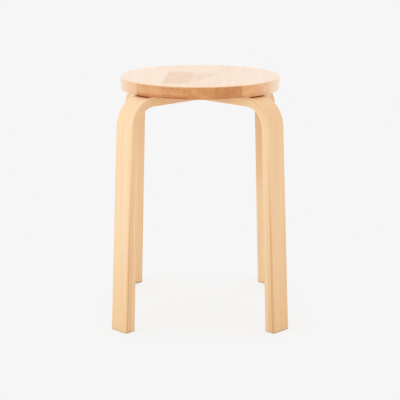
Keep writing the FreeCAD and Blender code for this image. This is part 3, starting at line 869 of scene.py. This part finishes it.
def makeScrewTree():
    tree, given = startTree("armScrew", {**screws, **places, "Material": None})
    # turned parts, each with its height: the head's land and cone, the shank and its blunt tip
    half, wide, flats, landMiddle = [
        addNode(tree, "ShaderNodeMath", over, {0: given[title], 1: 2})
        for title in ("Diameter", "Head Diameter", "Socket Width", "Head Land")]
    cone = addNode(tree, "ShaderNodeMath", minus, {0: wide, 1: half})
    blunt = addNode(tree, "ShaderNodeMath", minus, {0: half, 1: given["Tip Chamfer"]})
    length = addNode(tree, "ShaderNodeMath", minus, {0: given["Tip"], 1: given["Base"]})
    plain = addNode(tree, "ShaderNodeMath", minus, {0: length, 1: given["Tip Chamfer"]})
    shankMiddle = addNode(tree, "ShaderNodeMath", over, {0: plain, 1: 2})
    parts = []
    for kind, sizes, height in (
            ("Cylinder", {"Radius": wide, "Depth": given["Head Land"]}, landMiddle),
            ("Cone", {"Radius Top": half, "Radius Bottom": wide, "Depth": cone}, 0),
            ("Cylinder", {"Radius": half, "Depth": plain}, shankMiddle),
            ("Cone", {"Radius Top": blunt, "Radius Bottom": half, "Depth": given["Tip Chamfer"]}, plain)):
        part = addNode(tree, "GeometryNodeMesh" + kind, inputs={"Vertices": given["Round Steps"], **sizes})
        parts.append(lift(tree, part, height))
    body = addNode(tree, "GeometryNodeMeshBoolean", joined, {"Mesh 2": parts})
    # the socket, pressed in from the head's face
    corner = addNode(tree, "ShaderNodeMath", over, {0: math.pi, 1: given["Socket Sides"]})
    inset = addNode(tree, "ShaderNodeMath", {"operation": "COSINE"}, {0: corner})
    reach = addNode(tree, "ShaderNodeMath", over, {0: flats, 1: inset})
    deep = addNode(tree, "ShaderNodeMath", times, {0: given["Socket Depth"], 1: 2})
    key = addNode(tree, "GeometryNodeMeshCylinder", inputs={
        "Vertices": given["Socket Sides"], "Radius": reach, "Depth": deep})
    screw = addNode(tree, "GeometryNodeMeshBoolean", cutAway, {"Mesh 1": body, "Mesh 2": key})
    own = addNode(tree, "GeometryNodeInputPosition")
    marked = addNode(tree, "GeometryNodeStoreNamedAttribute", {"data_type": "FLOAT_VECTOR"}, {
        "Geometry": screw, "Name": "screwPlace", "Value": own})
    chance = addNode(tree, "FunctionNodeRandomValue", {"data_type": "FLOAT"}, {
        2: 0.0, 3: 2 * math.pi, "Seed": given["Seed"]})
    placed = copyToPlaces(tree, given, {
        "Instance": lift(tree, marked, given["Base"]), "Rotation": turnLevel(tree, chance)})
    return endTree(tree, placed, given["Material"])


def makeScrews(tree, material):
    piece = runTree("leg_screws_steel", tree, {"Material": material})
    tidyMesh(piece)
    evenShading(piece)
    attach(piece, "root")
    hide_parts("leg_screws")


staveWood = makeBirch(seatBirch)
plyWood = makeBirch(plyBirch)
screwSteel = makeSteel()
print("materials made")

staveTree = makeStaveTree()
staves = [makeStave(place, staveTree, staveWood) for place in range(seat["boardCount"])]
print("seat glued up from", len(staves), "staves")

plyTree = makePlyTree()
plies = [makePly(legNumber, plyName, plyTree, plyWood)
         for legNumber in range(len(legs["names"])) for plyName in legs["plies"]]
print("legs laminated from", len(plies), "plies")

makeScrews(makeScrewTree(), screwSteel)
print("screws set")


# Studio: a pale floor that runs out of view, and four soft lamps: two at the left, one above, one in front.

studio = {
    "background": "#F6F6F6",
    "floorSize": 40,
    "soleMargin": 1 * mm,
    "floorColour": "#ECECEC",
    "shadowShare": 0.22,  # how much of the stool's shadow shows
    "shadowReach": (0.2, 0.5),  # from the stool's axis, where the shadow fades out
    "worldStrength": 1.1,
    "lampAim": (0, 0, 0.25),
}
lamps = {
    "leftSoftbox": {"at": (-1.1, -0.25, 0.6), "size": (0.8, 0.8), "power": 0.75, "colour": "#D6ECFF"},
    "leftPanel": {"at": (-1.9, -1.6, 0.4), "size": (1.0, 0.7), "power": 3.2, "colour": "#B8E2FF"},
    "topSoftbox": {"at": (0, 0.2, 2.4), "size": (1.6, 1.6), "power": 6.8, "colour": "#FFFFFF"},
    "frontPanel": {"at": (0, -2.8, 0.4), "size": (1.8, 0.7), "power": 4.5, "colour": "#FFE4BE"},
}


def makePaper():  # a matt paper sweep: it shows the background's plain colour with only a faint shadow
    material, tree = startMaterial("paperSweepMatt")
    rays = addNode(tree, "ShaderNodeLightPath")
    spot = addNode(tree, "ShaderNodeTexCoord").outputs["Object"]
    away = addNode(tree, "ShaderNodeVectorMath", lengthOf, {0: spot})
    fadeFrom, fadeTo = studio["shadowReach"]
    plain = addNode(tree, "ShaderNodeMapRange", smoothStep, {
        "Value": away, "From Min": fadeFrom, "From Max": fadeTo, "To Min": 1 - studio["shadowShare"]})
    share = addNode(tree, "ShaderNodeMath", times, {0: rays.outputs["Is Camera Ray"], 1: plain})
    paper = addNode(tree, "ShaderNodeBsdfDiffuse", inputs={"Color": fromHex(studio["floorColour"])})
    glow = addNode(tree, "ShaderNodeEmission", inputs={"Color": fromHex(studio["background"])})
    surface = addNode(tree, "ShaderNodeMixShader", inputs={0: share, 1: paper, 2: glow})
    # from below it is clear, so that the stool's underside can be seen
    behind = addNode(tree, "ShaderNodeNewGeometry").outputs["Backfacing"]
    clear = addNode(tree, "ShaderNodeBsdfTransparent")
    oneSided = addNode(tree, "ShaderNodeMixShader", inputs={0: behind, 1: surface, 2: clear})
    addNode(tree, "ShaderNodeOutputMaterial", inputs={"Surface": oneSided})
    return material


def makeFloor(material):  # open under each foot, so that the soles can be seen from below
    corners = [(-1, -1), (1, -1), (1, 1), (-1, 1)]
    outlines = [[Vector((x, y, 0)) * studio["floorSize"] / 2 for x, y in corners]]
    soleLength = legs["footDepth"] / 2 - studio["soleMargin"]
    soleWidth = legs["sizes"]["Width"] / 2 - studio["soleMargin"]
    soleMiddle = Vector((legs["footReach"] - legs["footDepth"] / 2, 0, 0))
    for legNumber in range(len(legs["names"])):
        turn = Matrix.Rotation(legTurn(legNumber), 3, "Z")
        outlines.append([
            turn @ (soleMiddle + Vector((x * soleLength, y * soleWidth, 0))) for x, y in corners])
    work = bmesh.new()
    for outline in outlines:
        ring = [work.verts.new(corner) for corner in outline]
        for place, corner in enumerate(ring):
            work.edges.new((ring[place - 1], corner))
    bmesh.ops.triangle_fill(work, use_beauty=True, edges=work.edges, normal=(0, 0, 1))
    mesh = bpy.data.meshes.new("floor")
    work.to_mesh(mesh)
    work.free()
    floor = bpy.data.objects.new("floor", mesh)
    floor.data.materials.append(material)
    bpy.context.scene.collection.objects.link(floor)


def makeWorld():  # even light all round, which the camera and gloss see as the plain background
    world = bpy.data.worlds.new("studio")
    bpy.context.scene.world = world
    world.use_nodes = True
    tree = world.node_tree
    tree.nodes.clear()
    rays = addNode(tree, "ShaderNodeLightPath")
    shown = addNode(tree, "ShaderNodeMath", {"operation": "MAXIMUM"}, {
        0: rays.outputs["Is Camera Ray"], 1: rays.outputs["Is Glossy Ray"]})
    soft = addNode(tree, "ShaderNodeBackground", inputs={
        "Color": fromHex("#FFFFFF"), "Strength": studio["worldStrength"]})
    seen = addNode(tree, "ShaderNodeBackground", inputs={
        "Color": fromHex(studio["background"]), "Strength": 1})
    mixed = addNode(tree, "ShaderNodeMixShader", inputs={0: shown, 1: soft, 2: seen})
    addNode(tree, "ShaderNodeOutputWorld", inputs={"Surface": mixed})


def makeLamp(name, lamp):
    light = bpy.data.lights.new(name, "AREA")
    light.shape = "RECTANGLE"
    light.size, light.size_y = lamp["size"]
    light.energy = lamp["power"]
    light.color = fromHex(lamp["colour"])[:3]
    holder = bpy.data.objects.new(name, light)
    holder.location = lamp["at"]
    aim = Vector(studio["lampAim"]) - Vector(lamp["at"])
    holder.rotation_euler = aim.to_track_quat("-Z", "Y").to_euler()
    bpy.context.scene.collection.objects.link(holder)


view = {
    "back": 2.188,  # the camera's distance in front of the stool's axis
    "height": 0.750,
    "down": math.radians(13.85),
    "lens": 106.44,  # in mm, as the sensor's width
    "sensor": 36,
}


def makeCamera():
    data = bpy.data.cameras.new("camera")
    data.lens = view["lens"]
    data.sensor_width = view["sensor"]
    camera = bpy.data.objects.new("camera", data)
    camera.location = (0, -view["back"], view["height"])
    camera.rotation_euler = (math.pi / 2 - view["down"], 0, 0)
    bpy.context.scene.collection.objects.link(camera)
    bpy.context.scene.camera = camera


makeFloor(makePaper())
makeWorld()
for name, lamp in lamps.items():
    makeLamp(name, lamp)
makeCamera()
bpy.context.scene.view_settings.view_transform = "Standard"
print("studio lit")
